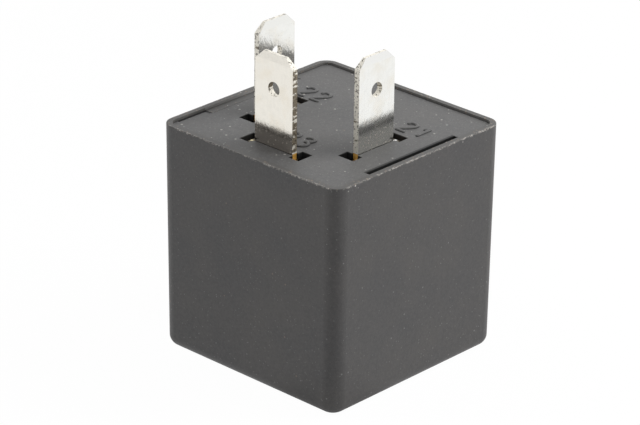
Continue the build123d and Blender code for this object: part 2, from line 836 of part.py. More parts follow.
with BuildPart() as solder_joints:
    joint_planes = [
        Plane(origin=(x, board_back, z), x_dir=(1, 0, 0), z_dir=(0, 1, 0)) for x, z in lead_holes
    ]
    with Locations(*joint_planes):
        Cone(
            solder_diameter / 2,
            solder_diameter / 5,
            solder_height,
            align=(Align.CENTER, Align.CENTER, Align.MIN),
        )
    for x, z in tab_places:
        tab_plane = Plane(origin=(x, board_back, z), x_dir=(1, 0, 0), z_dir=(0, 1, 0))
        with BuildSketch(tab_plane):
            Rectangle(solder_diameter, tab_width + solder_diameter - blade_thickness)
        extrude(amount=solder_height, taper=solder_taper)
keep(solder_joints, "solder_joints")


# Timer chip: a moulded body with a notch at its first pin, and its eight leads
with BuildPart() as timer_chip:
    with BuildSketch(Plane.XZ.offset(-(board_front - chip_standoff))):
        with Locations((0, chip_z)):
            Rectangle(chip_length, chip_width)
    extrude(amount=chip_height)
    with BuildSketch(Plane.XZ.offset(-(board_front - chip_standoff - chip_height))):
        with Locations((-chip_length / 2, chip_z)):
            Circle(chip_width / 8)
    extrude(amount=-chip_height / 8, mode=Mode.SUBTRACT)
    long_edges = timer_chip.edges().filter_by(Axis.X)
    chamfer(long_edges, chip_height / 8)
keep(timer_chip, "timer_chip")

with BuildPart() as timer_chip_leads:
    for x in chip_pins:
        with BuildSketch(Plane.YZ.offset(x)):
            for side in (-1, 1):
                with BuildLine():
                    FilletPolyline(
                        (chip_y, chip_z + side * chip_width / 2),
                        (chip_y, chip_z + side * chip_row / 2),
                        (board_back, chip_z + side * chip_row / 2),
                        radius=chip_lead_thickness,
                    )
                trace(line_width=chip_lead_thickness)
        extrude(amount=chip_lead_width / 2, both=True)
keep(timer_chip_leads, "timer_chip_leads")


# Resistors: dog-bone bodies lying along X before the board, each on two bent wires
for name, z in resistor_rows.items():
    body_plane = Plane(origin=(0, resistor_y, z), x_dir=(1, 0, 0), z_dir=(0, -1, 0))
    with BuildPart() as resistor:
        with BuildSketch(body_plane):
            with BuildLine():
                Polyline(
                    (0, 0),
                    (resistor_length / 2, 0),
                    (resistor_length / 2, 0.75 * resistor_diameter / 2),
                    (0.85 * resistor_length / 2, resistor_diameter / 2),
                    (0.6 * resistor_length / 2, resistor_diameter / 2),
                    (0.45 * resistor_length / 2, 0.84 * resistor_diameter / 2),
                    (0, 0.84 * resistor_diameter / 2),
                )
                mirror(about=Plane.YZ)
            make_face()
        revolve(axis=Axis((0, resistor_y, z), (1, 0, 0)))
    keep(resistor, name)

with BuildPart() as resistor_leads:
    for z in resistor_rows.values():
        for side in (-1, 1):
            start = (side * resistor_length / 2, resistor_y, z)
            corner = (side * resistor_pitch / 2, resistor_y, z)
            end = (side * resistor_pitch / 2, board_back, z)
            with BuildLine() as lead_path:
                FilletPolyline(start, corner, end, radius=lead_bend)
            with BuildSketch(Plane(origin=start, z_dir=(side, 0, 0))):
                Circle(lead_diameter / 2)
            sweep(path=lead_path.wire())
keep(resistor_leads, "resistor_leads")

with BuildPart() as clamp_diode:
    with BuildSketch(Plane.XY.offset(diode_z - diode_length / 2)):
        with Locations((side_part_x, diode_y)):
            Circle(diode_diameter / 2)
    extrude(amount=diode_length)
    chamfer(clamp_diode.edges().filter_by(GeomType.CIRCLE), diode_diameter / 12)
keep(clamp_diode, "clamp_diode")

with BuildPart() as diode_leads:
    for side in (-1, 1):
        start = (side_part_x, diode_y, diode_z + side * diode_length / 2)
        corner = (side_part_x, diode_y, diode_z + side * diode_pitch / 2)
        end = (side_part_x, board_back, diode_z + side * diode_pitch / 2)
        with BuildLine() as lead_path:
            FilletPolyline(start, corner, end, radius=lead_bend)
        with BuildSketch(Plane(origin=start, z_dir=(0, 0, side))):
            Circle(lead_diameter / 2)
        sweep(path=lead_path.wire())
keep(diode_leads, "diode_leads")


# Timing capacitor: a rolled can beside the resistors, its two wires bent into the board
with BuildPart() as timing_capacitor:
    groove = can_diameter / 12
    can_plane = Plane(origin=(-side_part_x, can_y, can_low), x_dir=(1, 0, 0), z_dir=(0, -1, 0))
    with BuildSketch(can_plane):
        with BuildLine():
            Polyline(
                (0, 0),
                (can_diameter / 2, 0),
                (can_diameter / 2, 3 * groove),
                (can_diameter / 2 - groove, 4 * groove),
                (can_diameter / 2, 5 * groove),
                (can_diameter / 2, can_length - groove),
                (can_diameter / 2 - groove, can_length),
                (0, can_length),
                close=True,
            )
        make_face()
    revolve(axis=Axis((-side_part_x, can_y, 0), (0, 0, 1)))
keep(timing_capacitor, "timing_capacitor")

with BuildPart() as capacitor_leads:
    for x, z in can_holes:
        start = (x, can_y, can_low)
        with BuildLine() as lead_path:
            FilletPolyline(start, (x, can_y, z), (x, board_back, z), radius=lead_bend)
        with BuildSketch(Plane(origin=start, z_dir=(0, 0, -1))):
            Circle(lead_diameter / 2)
        sweep(path=lead_path.wire())
keep(capacitor_leads, "capacitor_leads")
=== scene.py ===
import math

import bmesh
import bpy
import numpy as np
from mathutils import Matrix, Vector


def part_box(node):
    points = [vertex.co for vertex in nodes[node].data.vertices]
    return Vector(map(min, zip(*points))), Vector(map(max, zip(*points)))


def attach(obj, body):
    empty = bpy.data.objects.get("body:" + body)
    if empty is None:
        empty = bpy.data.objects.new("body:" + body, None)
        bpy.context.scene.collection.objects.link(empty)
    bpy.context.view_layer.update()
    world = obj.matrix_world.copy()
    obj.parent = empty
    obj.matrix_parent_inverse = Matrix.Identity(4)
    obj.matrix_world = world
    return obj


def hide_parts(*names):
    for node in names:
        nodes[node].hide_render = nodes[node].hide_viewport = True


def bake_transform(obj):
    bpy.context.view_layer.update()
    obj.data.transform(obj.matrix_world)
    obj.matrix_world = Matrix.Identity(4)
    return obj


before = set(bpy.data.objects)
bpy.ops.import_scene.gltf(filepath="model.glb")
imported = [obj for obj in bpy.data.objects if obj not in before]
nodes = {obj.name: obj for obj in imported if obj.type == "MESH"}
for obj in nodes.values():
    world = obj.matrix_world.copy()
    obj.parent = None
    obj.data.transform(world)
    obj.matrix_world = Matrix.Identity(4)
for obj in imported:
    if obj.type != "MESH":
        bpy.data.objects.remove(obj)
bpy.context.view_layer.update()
MM = 0.001

# Camera
# A long lens looks at the relay's front vertical edge from a little above. Its direction,
# roll and distance were fitted to points of the blades and the cover read one by one.
view_azimuth, view_height, view_roll = math.radians(-46.90), math.radians(24.46), math.radians(0.76)
view_offset = Vector((-1.05, 16.59, 445.64)) * MM
focal_pixels, frame_pixels, sensor_width = 3509.07, 640, 36.0

back = Vector((
    math.cos(view_height) * math.cos(view_azimuth),
    math.cos(view_height) * math.sin(view_azimuth),
    math.sin(view_height),
))
sideways = Vector((-math.sin(view_azimuth), math.cos(view_azimuth), 0))
upright = back.cross(sideways)
camera_x = sideways * math.cos(view_roll) + upright * math.sin(view_roll)
camera_y = upright * math.cos(view_roll) - sideways * math.sin(view_roll)
camera_turn = Matrix((camera_x, camera_y, back)).transposed()

camera_data = bpy.data.cameras.new("camera")
camera_data.lens = focal_pixels / frame_pixels * sensor_width
camera_data.sensor_width = sensor_width
camera_data.sensor_fit = "HORIZONTAL"
camera_data.clip_start = 0.01
camera = bpy.data.objects.new("camera", camera_data)
camera.matrix_world = Matrix.Translation(camera_turn @ view_offset) @ camera_turn.to_4x4()
bpy.context.scene.collection.objects.link(camera)
bpy.context.scene.camera = camera
bpy.context.scene.view_settings.view_transform = "Standard"


# Floor and light
# The relay stands on a white table in a light tent. What the camera sees is plain white, and
# so is what gloss sees, but for the tent's open side and the table before the camera, which
# are dimmer. The light itself is a soft sky, a box from the right and a weak one from the left.
sky_level, key_level, fill_level = 0.48, 0.95, 0.38
sky_colour = (0.97, 0.985, 1.0, 1.0)
table_white, table_glow = 0.86, 0.98
open_side, open_from, open_fully, open_dimming = (-0.2, -0.98, 0.0), 0.2, 0.85, 0.85
near_side, near_from, near_fully, near_dimming = (0.683, -0.730, 0.0), 0.82, 0.94, 0.36


def seen_directly(tree):
    """1 for rays from the camera, from gloss or through glass, and 0 for light on the object."""
    rays = tree.nodes.new("ShaderNodeLightPath")
    total = None
    for kind in ("Is Camera Ray", "Is Glossy Ray", "Is Transmission Ray"):
        if total is None:
            total = rays.outputs[kind]
            continue
        larger = tree.nodes.new("ShaderNodeMath")
        larger.operation = "MAXIMUM"
        tree.links.new(total, larger.inputs[0])
        tree.links.new(rays.outputs[kind], larger.inputs[1])
        total = larger.outputs[0]
    return total


def dimmed_in_gloss(tree, place, side, cosine_from, cosine_fully, dimming):
    """1, less the dimming where a glossy ray meets what lies towards `side`. The cosine of the
    angle to that side tells where the dimming begins and from where it is full."""
    outward = tree.nodes.new("ShaderNodeVectorMath")
    outward.operation = "NORMALIZE"
    tree.links.new(place, outward.inputs[0])
    towards = tree.nodes.new("ShaderNodeVectorMath")
    towards.operation = "DOT_PRODUCT"
    towards.inputs[1].default_value = side
    tree.links.new(outward.outputs[0], towards.inputs[0])
    opening = tree.nodes.new("ShaderNodeMapRange")
    opening.inputs["From Min"].default_value = cosine_from
    opening.inputs["From Max"].default_value = cosine_fully
    opening.inputs["To Max"].default_value = -dimming
    tree.links.new(towards.outputs["Value"], opening.inputs["Value"])
    in_gloss = tree.nodes.new("ShaderNodeMath")
    in_gloss.operation = "MULTIPLY_ADD"
    in_gloss.inputs[2].default_value = 1.0
    tree.links.new(opening.outputs[0], in_gloss.inputs[0])
    rays = tree.nodes.new("ShaderNodeLightPath")
    tree.links.new(rays.outputs["Is Glossy Ray"], in_gloss.inputs[1])
    return in_gloss.outputs[0]


world = bpy.data.worlds.new("light_tent")
world.use_nodes = True
bpy.context.scene.world = world
tree = world.node_tree
sky = tree.nodes["Background"]
sky.inputs["Strength"].default_value = sky_level
sky.inputs["Color"].default_value = sky_colour
white = tree.nodes.new("ShaderNodeBackground")
white.inputs["Color"].default_value = (1.0, 1.0, 1.0, 1.0)
outwards = tree.nodes.new("ShaderNodeTexCoord").outputs["Generated"]
tree.links.new(
    dimmed_in_gloss(tree, outwards, open_side, open_from, open_fully, open_dimming),
    white.inputs["Strength"],
)
tent = tree.nodes.new("ShaderNodeMixShader")
tree.links.new(seen_directly(tree), tent.inputs["Fac"])
tree.links.new(sky.outputs[0], tent.inputs[1])
tree.links.new(white.outputs[0], tent.inputs[2])
tree.links.new(tent.outputs[0], tree.nodes["World Output"].inputs["Surface"])

# The table's top is a hair's breadth under the closed end, so that neither plane shows through
# the other
table_half, table_height = 0.9, -0.02 * MM
table_corners = ((-1, -1), (1, -1), (1, 1), (-1, 1))
table_mesh = bpy.data.meshes.new("table")
table_mesh.from_pydata(
    [(x * table_half, y * table_half, table_height) for x, y in table_corners], [], [(0, 1, 2, 3)]
)
table = bpy.data.objects.new("table", table_mesh)
bpy.context.scene.collection.objects.link(table)
table_finish = bpy.data.materials.new("table_white")
table_finish.use_nodes = True
tree = table_finish.node_tree
matt = tree.nodes["Principled BSDF"]
matt.inputs["Base Color"].default_value = (table_white, table_white, table_white, 1)
matt.inputs["Roughness"].default_value = 0.9
glow = tree.nodes.new("ShaderNodeEmission")
glow_share = tree.nodes.new("ShaderNodeMath")
glow_share.operation = "MULTIPLY"
glow_share.inputs[1].default_value = table_glow
tree.links.new(seen_directly(tree), glow_share.inputs[0])
around = tree.nodes.new("ShaderNodeTexCoord").outputs["Object"]
tree.links.new(
    dimmed_in_gloss(tree, around, near_side, near_from, near_fully, near_dimming),
    glow.inputs["Strength"],
)
paper = tree.nodes.new("ShaderNodeMixShader")
tree.links.new(glow_share.outputs[0], paper.inputs["Fac"])
tree.links.new(matt.outputs[0], paper.inputs[1])
tree.links.new(glow.outputs[0], paper.inputs[2])
tree.links.new(paper.outputs[0], tree.nodes["Material Output"].inputs["Surface"])
table_mesh.materials.append(table_finish)


def soft_box(name, azimuth, height, brightness, size, distance):
    """A square lamp facing the object. A white card at the object, square to it, is lit to
    `brightness`. Gloss doesn't see the lamp, as it stands outside the tent."""
    lamp = bpy.data.lights.new(name, "AREA")
    lamp.size = size
    lamp.energy = brightness * math.pi**2 * distance**2
    away = Vector((
        math.cos(height) * math.cos(azimuth), math.cos(height) * math.sin(azimuth), math.sin(height)
    ))
    box = bpy.data.objects.new(name, lamp)
    box.matrix_world = (
        Matrix.Translation(away * distance) @ away.to_track_quat("Z", "Y").to_matrix().to_4x4()
    )
    box.visible_glossy = False
    bpy.context.scene.collection.objects.link(box)


key_azimuth, key_height = math.radians(46), math.radians(43)
fill_azimuth, fill_height = math.radians(-150), math.radians(35)
soft_box("key_box", key_azimuth, key_height, key_level, size=0.17, distance=0.23)
soft_box("fill_box", fill_azimuth, fill_height, fill_level, size=0.45, distance=0.6)


# Cover
# A cup moulded from black glass-filled plastic, finely grained, with the gate mark on its
# closed end. Use has left dust specks, and a worn, whitish flash and brown crumbs on the rim.
class Finish:
    """A procedural material: its Principled shader, and short calls that add and join nodes.
    `place` is the point of the surface in millimetres and `facing` its outward normal."""

    def __init__(self, name, colour, roughness, metallic=0.0, specular=0.5):
        self.material = bpy.data.materials.new(name)
        self.material.use_nodes = True
        self.tree = self.material.node_tree
        self.shader = self.tree.nodes["Principled BSDF"]
        self.shader.inputs["Base Color"].default_value = (*colour, 1)
        self.shader.inputs["Roughness"].default_value = roughness
        self.shader.inputs["Metallic"].default_value = metallic
        self.shader.inputs["Specular IOR Level"].default_value = specular
        metres = self.add("ShaderNodeTexCoord").outputs["Object"]
        scale = self.add("ShaderNodeVectorMath", operation="SCALE")
        scale.inputs["Scale"].default_value = 1 / MM
        self.tree.links.new(metres, scale.inputs[0])
        self.place = scale.outputs[0]
        self.x, self.y, self.z = self.split(self.place)
        self.facing = self.split(self.add("ShaderNodeNewGeometry").outputs["True Normal"])

    def add(self, kind, **settings):
        node = self.tree.nodes.new(kind)
        for key, value in settings.items():
            setattr(node, key, value)
        return node

    def feed(self, value, socket):
        if isinstance(value, bpy.types.NodeSocket):
            self.tree.links.new(value, socket)
        else:
            socket.default_value = value

    def split(self, vector):
        parts = self.add("ShaderNodeSeparateXYZ")
        self.feed(vector, parts.inputs[0])
        return parts.outputs

    def math(self, operation, *values, clamp=False):
        node = self.add("ShaderNodeMath", operation=operation, use_clamp=clamp)
        for value, socket in zip(values, node.inputs):
            self.feed(value, socket)
        return node.outputs[0]

    def span(self, value, low, high):
        """0 where value is under low, 1 where it is over high, even between."""
        node = self.add("ShaderNodeMapRange", clamp=True)
        self.feed(value, node.inputs["Value"])
        node.inputs["From Min"].default_value = low
        node.inputs["From Max"].default_value = high
        return node.outputs[0]

    def stretched(self, across):
        """The place in millimetres, multiplied by a number along each axis."""
        node = self.add("ShaderNodeVectorMath", operation="MULTIPLY")
        self.feed(self.place, node.inputs[0])
        node.inputs[1].default_value = across
        return node.outputs[0]

    def noise(self, per_mm, detail=3.0, across=(1, 1, 1)):
        node = self.add("ShaderNodeTexNoise")
        node.inputs["Scale"].default_value = per_mm
        node.inputs["Detail"].default_value = detail
        self.feed(self.stretched(across), node.inputs["Vector"])
        return node.outputs["Fac"]

    def specks(self, per_mm, radius, kept):
        """1 inside small round grains, one in each cell, of which the share `kept` shows."""
        node = self.add("ShaderNodeTexVoronoi")
        node.inputs["Scale"].default_value = per_mm
        self.feed(self.place, node.inputs["Vector"])
        chance = self.add("ShaderNodeSeparateColor")
        self.feed(node.outputs["Color"], chance.inputs[0])
        shown = self.math("LESS_THAN", chance.outputs[0], kept)
        size = self.math("MULTIPLY", chance.outputs[1], radius * per_mm)
        near = self.math("LESS_THAN", node.outputs["Distance"], size)
        return self.math("MULTIPLY", shown, near)

    def mix(self, share, first, second):
        """The colour first where share is 0 and second where it is 1."""
        node = self.add("ShaderNodeMix", data_type="RGBA")
        self.feed(share, node.inputs["Factor"])
        for colour, socket in ((first, node.inputs["A"]), (second, node.inputs["B"])):
            self.feed((*colour, 1) if isinstance(colour, tuple) else colour, socket)
        return node.outputs["Result"]

    def colour(self, value):
        self.feed(value, self.shader.inputs["Base Color"])

    def roughness(self, value):
        self.feed(value, self.shader.inputs["Roughness"])

    def bump(self, height, depth_mm):
        """Raises the surface by up to depth_mm where height is 1."""
        node = self.add("ShaderNodeBump")
        node.inputs["Distance"].default_value = depth_mm * MM
        self.feed(height, node.inputs["Height"])
        self.feed(node.outputs[0], self.shader.inputs["Normal"])


def dress(finish, *names):
    """Gives a finish to CAD nodes through their own material slots."""
    for name in names:
        piece = nodes[name]
        if not piece.material_slots:
            piece.data.materials.append(None)
        for slot in piece.material_slots:
            slot.material = finish.material


cover_black, cover_brown = (0.0415, 0.0405, 0.0415), (0.052, 0.049, 0.047)
dust_white, dust_tan = (0.42, 0.42, 0.41), (0.30, 0.22, 0.16)
half_side, rim_height, lug_half = 15.0, 30.5, 7.85
rubbed_grey, wall_painted_light = (0.078, 0.076, 0.073), (0.13, 0.126, 0.12)
lug_wall_painted_light = (0.24, 0.235, 0.23)
flash_brown, flash_pale, grit_pale = (0.32, 0.29, 0.26), (0.58, 0.55, 0.51), (0.66, 0.63, 0.59)


def moulded_plastic(name, colour, warm, roughness):
    """Grained black plastic with cloudy patches and dust specks of several sizes."""
    finish = Finish(name, colour, roughness)
    clouds = finish.span(finish.noise(0.16, 4.0), 0.35, 0.7)
    grain = finish.noise(5.5, 2.0)
    tone = finish.mix(clouds, colour, warm)
    light_grain = finish.math("MULTIPLY", finish.span(grain, 0.5, 0.8), 0.36)
    tone = finish.mix(light_grain, tone, tuple(2.2 * part for part in warm))
    mottle = finish.math("MULTIPLY", finish.span(finish.noise(2.6, 4.0), 0.35, 0.75), 0.38)
    tone = finish.mix(mottle, tone, tuple(1.6 * part for part in warm))
    for per_mm, radius, kept, cover, dust in (
        (0.4, 0.18, 0.35, 0.42, dust_white),
        (0.9, 0.13, 0.40, 0.22, dust_white),
        (1.9, 0.10, 0.60, 0.14, dust_white),
        (0.5, 0.20, 0.35, 0.30, dust_tan),
    ):
        spot = finish.math("MULTIPLY", finish.specks(per_mm, radius, kept), cover)
        tone = finish.mix(spot, tone, dust)
    finish.roughness(finish.math("MULTIPLY_ADD", grain, 0.16, roughness - 0.08))
    waves = finish.math("MULTIPLY", finish.noise(1.1, 2.0), 1.2)
    finish.bump(finish.math("ADD", grain, waves), 0.012)
    return finish, tone


cover_finish, cover_tone = moulded_plastic("cover_plastic", cover_black, cover_brown, 0.5)
reach = cover_finish.math(
    "MAXIMUM",
    cover_finish.math("ABSOLUTE", cover_finish.x),
    cover_finish.math("ABSOLUTE", cover_finish.y),
)
# The flash wanders along the outer edge of the rim: a broad wave with a fine tooth on it
wander = cover_finish.math("MULTIPLY_ADD", cover_finish.noise(0.9, 2.0), 0.30, -0.15)
tooth = cover_finish.math("MULTIPLY_ADD", cover_finish.noise(5.0, 3.0), 0.34, -0.17)
ragged = cover_finish.math("ADD", wander, tooth)
rim_near = cover_finish.math(
    "MULTIPLY",
    cover_finish.span(
        cover_finish.math("ADD", cover_finish.z, ragged), rim_height - 0.16, rim_height - 0.10
    ),
    cover_finish.span(cover_finish.math("ADD", reach, ragged), half_side - 0.20, half_side - 0.13),
)
patches = cover_finish.span(cover_finish.noise(1.3, 5.0), 0.40, 0.62)
broken = cover_finish.math(
    "MULTIPLY", cover_finish.math("MULTIPLY_ADD", patches, 0.50, 0.10),
    cover_finish.span(cover_finish.noise(4.5, 2.0), 0.40, 0.56),
)
worn = cover_finish.math("MULTIPLY", rim_near, broken)
flash_tone = cover_finish.mix(
    cover_finish.span(cover_finish.noise(2.2, 3.0), 0.4, 0.6), flash_brown, flash_pale
)
# The rim's flat top is rubbed as grey as the base plate. The wall inside the rim is painted a
# lighter grey, painted light that lifts its shade.
rim_top = cover_finish.math(
    "MULTIPLY", cover_finish.span(cover_finish.z, rim_height - 0.35, rim_height - 0.30),
    cover_finish.span(cover_finish.facing[2], 0.3, 0.8),
)
inner_wall = cover_finish.math(
    "MULTIPLY", cover_finish.span(reach, half_side - 0.5, half_side - 0.6),
    cover_finish.math(
        "MULTIPLY", cover_finish.span(cover_finish.facing[2], 0.3, 0.1),
        cover_finish.span(cover_finish.z, rim_height - 0.33, rim_height - 0.28),
    ),
)
rim_tone = cover_finish.mix(rim_top, cover_tone, rubbed_grey)
rim_tone = cover_finish.mix(inner_wall, rim_tone, wall_painted_light)
# Beside the lug the wall is painted brighter still, painted light in place of its shade, and brown
# crumbs stick all along it
beside_lug = cover_finish.math(
    "MULTIPLY",
    cover_finish.span(
        cover_finish.math("ABSOLUTE", cover_finish.y), lug_half + 0.10, lug_half - 0.05
    ),
    cover_finish.math("LESS_THAN", cover_finish.x, 0.0),
)
rim_tone = cover_finish.mix(
    cover_finish.math("MULTIPLY", inner_wall, beside_lug), rim_tone, lug_wall_painted_light
)
crumbs = cover_finish.math(
    "MULTIPLY", cover_finish.specks(2.4, 0.17, 0.7),
    cover_finish.math("MAXIMUM", inner_wall, rim_top),
)
rim_tone = cover_finish.mix(cover_finish.math("MULTIPLY", crumbs, 0.35), rim_tone, dust_tan)
grit = cover_finish.math(
    "MULTIPLY", cover_finish.specks(1.7, 0.11, 0.5),
    cover_finish.span(cover_finish.z, rim_height - 0.8, rim_height - 0.2),
)
rim_tone = cover_finish.mix(cover_finish.math("MULTIPLY", grit, 0.6), rim_tone, grit_pale)
cover_finish.colour(cover_finish.mix(worn, rim_tone, flash_tone))
dress(cover_finish, "cover")


# Base plate
# A second moulding of a greyer plastic, snapped into the cover's rim. It has been handled
# more, so its face carries more dust. Its slots are painted black as shade.
plate_grey, plate_warm = (0.078, 0.0775, 0.0775), (0.087, 0.085, 0.083)
slot_shade_black, plate_grit_pale = (0.010, 0.010, 0.010), (0.50, 0.48, 0.44)
plate_top, notch_side, notch_half = 30.2, 13.13, 8.0

plate_finish, plate_tone = moulded_plastic("base_plastic", plate_grey, plate_warm, 0.52)
plate_dust = plate_finish.math("MULTIPLY", plate_finish.specks(1.4, 0.13, 0.7), 0.13)
plate_tone = plate_finish.mix(plate_dust, plate_tone, dust_white)
plate_grit = plate_finish.math("MULTIPLY", plate_finish.specks(1.3, 0.16, 0.36), 0.55)
plate_fines = plate_finish.math("MULTIPLY", plate_finish.specks(3.2, 0.11, 0.6), 0.14)
plate_tone = plate_finish.mix(plate_fines, plate_tone, dust_white)
plate_tone = plate_finish.mix(plate_grit, plate_tone, plate_grit_pale)
# Painted shade: the slots are painted black, and dark strips are painted along the open notch,
# beside the end of the cover's lug and round the foot of the raised numbers.
# Painted shade: everything below the plate's face is painted near black
sunk = plate_finish.span(plate_finish.z, plate_top - 0.03, plate_top - 0.16)
# A painted shade strip along the open notch, which makes the notch read wider and black
notch_painted_shade = plate_finish.math(
    "MULTIPLY", plate_finish.span(plate_finish.x, notch_side - 0.36, notch_side - 0.32),
    plate_finish.span(
        plate_finish.math("ABSOLUTE", plate_finish.y), notch_half + 0.05, notch_half - 0.05
    ),
)
# A painted shade spot at the end gap of the cover's lug
from_lug_end = plate_finish.math("ADD", plate_finish.y, notch_half + 0.1)
lug_end_painted_shade = plate_finish.math(
    "MULTIPLY", plate_finish.span(plate_finish.x, -notch_side + 0.15, -notch_side + 0.05),
    plate_finish.span(plate_finish.math("ABSOLUTE", from_lug_end), 0.24, 0.16),
)
# Painted shade round the foot of the raised numbers
number_foot = plate_finish.math(
    "MULTIPLY", plate_finish.span(plate_finish.z, plate_top + 0.01, plate_top + 0.03),
    plate_finish.span(plate_finish.z, plate_top + 0.12, plate_top + 0.07),
)
number_foot_painted_shade = plate_finish.math("MULTIPLY", number_foot, 0.75)
dark = sunk
for shade_mark in (notch_painted_shade, lug_end_painted_shade, number_foot_painted_shade):
    dark = plate_finish.math("MAXIMUM", dark, shade_mark)
plate_finish.colour(plate_finish.mix(dark, plate_tone, slot_shade_black))
plate_finish.roughness(plate_finish.math("MULTIPLY_ADD", sunk, 0.35, 0.52))
dress(plate_finish, "base_plate")


# Terminal numbers
# Plain numbers moulded with the base plate beside the blades: round-topped ridges as a
# ball-nosed cutter leaves them. Their strokes are given as shares of a digit's height.
number_height, number_advance, ridge_width, ridge_height = 2.8, 2.5, 0.5, 0.22
number_strokes = {
    "1": [[(0.10, 0.76), (0.22, 0.86), (0.34, 1.0)], [(0.34, 1.0), (0.34, 0.5), (0.34, 0.0)]],
    "2": [
        [
            (0.04, 0.76), (0.12, 0.94), (0.32, 1.0), (0.53, 0.90), (0.56, 0.70), (0.40, 0.42),
            (0.02, 0.0),
        ],
        [(0.02, 0.0), (0.30, 0.0), (0.60, 0.0)],
    ],
    "3": [
        [
            (0.04, 0.82), (0.16, 0.97), (0.34, 1.0), (0.52, 0.90), (0.52, 0.66), (0.36, 0.54),
            (0.20, 0.54),
        ],
        [
            (0.20, 0.54), (0.38, 0.54), (0.56, 0.42), (0.58, 0.18), (0.40, 0.01), (0.16, 0.02),
            (0.02, 0.18),
        ],
    ],
}
number_places = {"23": (-1.7, -7.8), "22": (-10.2, 4.0), "21": (6.5, 4.5)}


def ridge(points, samples=12, around=12):
    """A ridge along a smooth curve through the points, as vertices and faces.
    The curve is a Catmull-Rom spline: between two points it is the cubic of them and their
    neighbours. Across it, a half ellipse stands on a shallow root, and the section shrinks
    over half a width at either end as the square root of a circle's chord."""
    knots = np.array([points[0], *points, points[-1]], float) * number_height
    knots[0], knots[-1] = 2 * knots[1] - knots[2], 2 * knots[-2] - knots[-3]
    t = np.linspace(0, 1, samples, endpoint=False)[None, :, None]
    a, b, c, d = (knots[k : len(knots) - 3 + k][:, None, :] for k in range(4))
    square, cube = 2 * a - 5 * b + 4 * c - d, 3 * b - a - 3 * c + d
    cubic = 0.5 * (2 * b + (c - a) * t + square * t**2 + cube * t**3)
    line = np.vstack([cubic.reshape(-1, 2), knots[-2]])
    step = np.gradient(line, axis=0)
    step /= np.linalg.norm(step, axis=1)[:, None]
    side = np.stack([-step[:, 1], step[:, 0]], 1)
    travel = np.concatenate([[0], np.cumsum(np.linalg.norm(np.diff(line, axis=0), axis=1))])
    to_end = np.minimum(travel, travel[-1] - travel) / (ridge_width / 2)
    swell = np.sqrt(np.clip(1 - np.clip(1 - to_end, 0, 1) ** 2, 1e-4, 1))
    angle = np.linspace(0, 2 * np.pi, around, endpoint=False)
    across = np.cos(angle)[None, :, None] * swell[:, None, None] * ridge_width / 2
    flat = line[:, None, :] + across * side[:, None, :]
    up = np.maximum(np.sin(angle), -0.25)[None, :] * swell[:, None] * ridge_height
    vertices = np.concatenate([flat, up[:, :, None]], 2).reshape(-1, 3)
    row, column = np.meshgrid(np.arange(len(line) - 1), np.arange(around), indexing="ij")
    following = (column + 1) % around
    faces = np.stack(
        [row * around + column, row * around + following, (row + 1) * around + following,
         (row + 1) * around + column], 2
    ).reshape(-1, 4)[:, ::-1]
    ends = [list(range(around)), list(range(len(vertices) - around, len(vertices)))[::-1]]
    return vertices, [list(face) for face in faces.tolist()] + ends


def new_piece(name, vertices_mm, faces, finish):
    """A smooth mesh object made of points in millimetres, with one finish."""
    mesh = bpy.data.meshes.new(name)
    mesh.from_pydata((np.asarray(vertices_mm) * MM).tolist(), [], faces)
    mesh.polygons.foreach_set("use_smooth", np.full(len(mesh.polygons), True))
    mesh.materials.append(finish.material)
    mesh.update()
    piece = bpy.data.objects.new(name, mesh)
    bpy.context.scene.collection.objects.link(piece)
    return piece


for text, (left, bottom) in number_places.items():
    points, faces = [], []
    for position, digit in enumerate(text):
        for stroke in number_strokes[digit]:
            ridge_points, ridge_faces = ridge(stroke)
            start = sum(len(part) for part in points)
            points.append(ridge_points + (left + position * number_advance, bottom, plate_top))
            faces += [[start + corner for corner in face] for face in ridge_faces]
    number = new_piece(f"number_{text}", np.vstack(points), faces, plate_finish)
    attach(number, "housing")


# Terminals
# Stamped from brass strip that was tinned before, so the faces are satin tin with rolling
# lines along the blade, a little crowned by the punch, and the narrow edges show torn brass.
# Handling has left a brown film and dust just above the base.
torn_depth = 0.08
bright_tin, warm_tin, shoulder_shade = (0.88, 0.88, 0.85), (0.83, 0.80, 0.73), (0.10, 0.08, 0.05)
pit_brown = (0.35, 0.30, 0.25)
edge_cream, edge_brown, edge_dark = (0.84, 0.80, 0.71), (0.21, 0.175, 0.125), (0.04, 0.036, 0.03)
blade_dust = (0.38, 0.33, 0.27)
bare_brass = (0.80, 0.44, 0.10)


